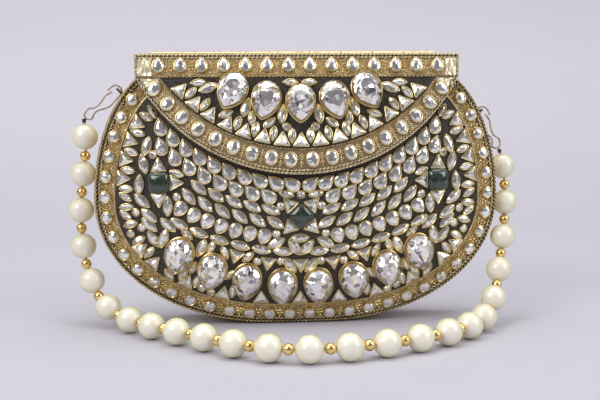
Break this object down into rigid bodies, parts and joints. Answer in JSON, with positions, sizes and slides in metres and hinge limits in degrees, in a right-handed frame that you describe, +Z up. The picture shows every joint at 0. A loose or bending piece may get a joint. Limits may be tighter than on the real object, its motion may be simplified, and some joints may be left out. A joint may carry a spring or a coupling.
{
  "type": "kundan clutch bag",
  "caption": "Rounded metal clutch bag with domed sides, a hinged flap, mosaic stones in raised bezels and a beaded pearl strap.",
  "frame": {"origin": "middle of the flat foot that the bag stands on, halfway between its front and back", "axes": "+Z up from the foot to the flap's hinge, -Y towards the viewer and the flap's front, +X along the hinge"},
  "size_m": [0.2311, 0.1315, 0.1377],
  "materials": {
    "gilt_setting": "gilt bezels, ropes and granules, worn dark in the hollows",
    "brass_sheet": "antique polished brass sheet",
    "dark_metal": "oxidised brass",
    "copper_wire": "pinkish copper-coloured wire",
    "clear_crystal": "faceted foil-backed glass",
    "green_crystal": "dark green faceted glass",
    "pearl_coat": "cream pearl coat over moulded beads",
    "magnet_plate": "nickel-plated magnet",
    "velvet": "short-pile velvet",
    "strap_gold": "polished gold-coloured spacer beads on a coated thread"
  },
  "bodies": {
    "body": {"front_panel": "gilt_setting", "back_panel": "brass_sheet", "gusset": "brass_sheet", "front_lining": "velvet", "back_lining": "velvet", "gusset_lining": "velvet", "panel_magnet": "magnet_plate", "hinge_body_leaf": "brass_sheet", "hinge_pin": "dark_metal", "green_stone_left": "green_crystal", "green_stone_centre": "green_crystal", "green_stone_right": "green_crystal", "lug_left": "dark_metal", "lug_right": "dark_metal", "hook_left": "copper_wire", "hook_right": "copper_wire", "strap_thread": "strap_gold", "panel_crystal_1": "clear_crystal", "panel_crystal_2": "clear_crystal", "panel_crystal_3": "clear_crystal", "panel_crystal_4": "clear_crystal", "panel_crystal_5": "clear_crystal", "panel_crystal_6": "clear_crystal", "panel_crystal_7": "clear_crystal", "panel_crystal_8": "clear_crystal", "pearl_01": "pearl_coat", "pearl_02": "pearl_coat", "pearl_03": "pearl_coat", "pearl_04": "pearl_coat", "pearl_05": "pearl_coat", "pearl_06": "pearl_coat", "pearl_07": "pearl_coat", "pearl_08": "pearl_coat", "pearl_09": "pearl_coat", "pearl_10": "pearl_coat", "pearl_11": "pearl_coat", "pearl_12": "pearl_coat", "pearl_13": "pearl_coat", "pearl_14": "pearl_coat", "pearl_15": "pearl_coat", "pearl_16": "pearl_coat", "pearl_17": "pearl_coat", "pearl_18": "pearl_coat", "pearl_19": "pearl_coat", "pearl_20": "pearl_coat", "pearl_21": "pearl_coat", "pearl_22": "pearl_coat", "pearl_23": "pearl_coat", "pearl_24": "pearl_coat"},
    "flap": {"flap": "gilt_setting", "flap_lining": "velvet", "flap_magnet": "magnet_plate", "hinge_flap_leaf": "brass_sheet", "flap_crystal_1": "clear_crystal", "flap_crystal_2": "clear_crystal", "flap_crystal_3": "clear_crystal", "flap_crystal_4": "clear_crystal", "flap_crystal_5": "clear_crystal"}
  },
  "joints": [
    {"name": "flap_hinge", "type": "hinge", "parent": "body", "child": "flap", "pos_m": [0, 0.0119, 0.136], "axis": [-1, 0, 0], "range_deg": [0, 170]}
  ]
}
